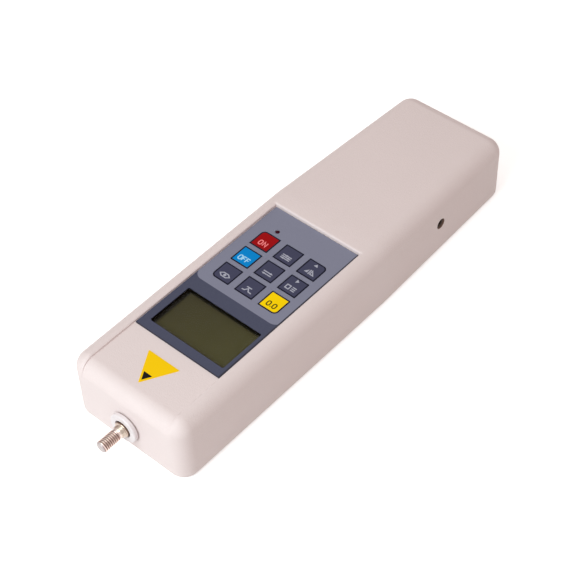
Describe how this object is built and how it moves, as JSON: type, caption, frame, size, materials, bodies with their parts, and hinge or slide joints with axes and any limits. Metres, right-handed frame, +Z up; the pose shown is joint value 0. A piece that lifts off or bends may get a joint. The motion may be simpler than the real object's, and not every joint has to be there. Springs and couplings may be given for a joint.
{
  "type": "digital force gauge",
  "caption": "Hand-held push and pull force gauge with a threaded stud, a strain-gauge load cell, a display, a key panel and a rechargeable pack in a long tapered case.",
  "frame": {"origin": "middle of the base's flat face, half way along the case and on its middle plane", "axes": "+Z up through the display side, +Y from the stud towards the rear end, +X to the right, the side of the charging socket"},
  "size_m": [0.066, 0.2455, 0.0368],
  "materials": {
    "case_plastic": "fine sand-grained ABS, warm cream",
    "cover_plastic": "fine sand-grained ABS, warm cream",
    "collar_plastic": "smooth white nylon",
    "ring_steel": "plain steel",
    "overlay_film": "printed polyester, slate with a lighter grey key field",
    "decal_yellow": "yellow film, bare",
    "clear_pane": "clear acrylic",
    "display_glass": "olive reflective liquid crystal, off",
    "light_guide": "white acrylic",
    "strip_rubber": "conductive elastomer",
    "circuit_board": "green solder mask",
    "chip_black": "moulded epoxy",
    "connector_nylon": "natural nylon",
    "screw_steel": "zinc-plated steel",
    "lamp_red": "dark red lens, unlit",
    "key_red": "printed polyester",
    "key_blue": "printed polyester",
    "key_yellow": "printed polyester",
    "key_dark": "printed polyester",
    "plunger_white": "acetal",
    "stud_nickel": "nickel-plated steel, turned",
    "nut_steel": "zinc-plated steel",
    "cell_aluminium": "milled, clear anodised",
    "gauge_foil": "polyimide foil gauge",
    "cable_grey": "grey jacket",
    "plate_steel": "milled steel",
    "bolt_black": "black-oxide socket-head bolt",
    "battery_sleeve": "plain green sleeve",
    "link_nickel": "spot-welded nickel strip",
    "tray_plastic": "black ABS",
    "foam_grey": "closed-cell foam",
    "lead_red": "insulated hook-up wire",
    "jack_plastic": "black moulded socket"
  },
  "bodies": {
    "case": {"upper_case": "case_plastic", "base_cover": "cover_plastic", "front_collar": "collar_plastic", "collar_ring": "ring_steel", "keypad_overlay": "overlay_film", "pointer_decal": "decal_yellow", "display_window": "clear_pane", "lcd_glass": "display_glass", "lcd_backlight": "light_guide", "contact_strips": "strip_rubber", "main_board": "circuit_board", "board_chips": "chip_black", "board_connectors": "connector_nylon", "buzzer": "chip_black", "board_screws": "screw_steel", "status_led": "lamp_red", "light_pipe": "lamp_red", "switch_bodies": "chip_black", "load_cell": "cell_aluminium", "strain_gauges": "gauge_foil", "cell_cable": "cable_grey", "anchor_block": "plate_steel", "anchor_bolt": "bolt_black", "anchor_screws": "screw_steel", "base_plate": "plate_steel", "plate_screws": "screw_steel", "battery_cells": "battery_sleeve", "cell_links": "link_nickel", "battery_tray": "tray_plastic", "tray_screws": "screw_steel", "battery_foam": "foam_grey", "battery_leads": "lead_red", "charge_jack": "jack_plastic", "jack_leads": "lead_red", "case_screws": "screw_steel"},
    "button_on": {"key_on": "key_red", "plunger_on": "plunger_white"},
    "button_set": {"key_set": "key_dark", "plunger_set": "plunger_white"},
    "button_up": {"key_up": "key_dark", "plunger_up": "plunger_white"},
    "button_off": {"key_off": "key_blue", "plunger_off": "plunger_white"},
    "button_unit": {"key_unit": "key_dark", "plunger_unit": "plunger_white"},
    "button_down": {"key_down": "key_dark", "plunger_down": "plunger_white"},
    "button_view": {"key_view": "key_dark", "plunger_view": "plunger_white"},
    "button_peak": {"key_peak": "key_dark", "plunger_peak": "plunger_white"},
    "button_zero": {"key_zero": "key_yellow", "plunger_zero": "plunger_white"},
    "shaft": {"force_shaft": "stud_nickel", "shaft_lock_nut": "nut_steel"}
  },
  "joints": [
    {"name": "press_on", "type": "slide", "parent": "case", "child": "button_on", "axis": [0, 0, -1], "range_m": [0, 0.0003], "stiffness_N_per_m": 400, "springref_m": -0.0003},
    {"name": "press_set", "type": "slide", "parent": "case", "child": "button_set", "axis": [0, 0, -1], "range_m": [0, 0.0003], "stiffness_N_per_m": 400, "springref_m": -0.0003},
    {"name": "press_up", "type": "slide", "parent": "case", "child": "button_up", "axis": [0, 0, -1], "range_m": [0, 0.0003], "stiffness_N_per_m": 400, "springref_m": -0.0003},
    {"name": "press_off", "type": "slide", "parent": "case", "child": "button_off", "axis": [0, 0, -1], "range_m": [0, 0.0003], "stiffness_N_per_m": 400, "springref_m": -0.0003},
    {"name": "press_unit", "type": "slide", "parent": "case", "child": "button_unit", "axis": [0, 0, -1], "range_m": [0, 0.0003], "stiffness_N_per_m": 400, "springref_m": -0.0003},
    {"name": "press_down", "type": "slide", "parent": "case", "child": "button_down", "axis": [0, 0, -1], "range_m": [0, 0.0003], "stiffness_N_per_m": 400, "springref_m": -0.0003},
    {"name": "press_view", "type": "slide", "parent": "case", "child": "button_view", "axis": [0, 0, -1], "range_m": [0, 0.0003], "stiffness_N_per_m": 400, "springref_m": -0.0003},
    {"name": "press_peak", "type": "slide", "parent": "case", "child": "button_peak", "axis": [0, 0, -1], "range_m": [0, 0.0003], "stiffness_N_per_m": 400, "springref_m": -0.0003},
    {"name": "press_zero", "type": "slide", "parent": "case", "child": "button_zero", "axis": [0, 0, -1], "range_m": [0, 0.0003], "stiffness_N_per_m": 400, "springref_m": -0.0003},
    {"name": "shaft_give", "type": "slide", "parent": "case", "child": "shaft", "axis": [0, 1, 0], "range_m": [-0.0002, 0.0002], "stiffness_N_per_m": 20000}
  ]
}
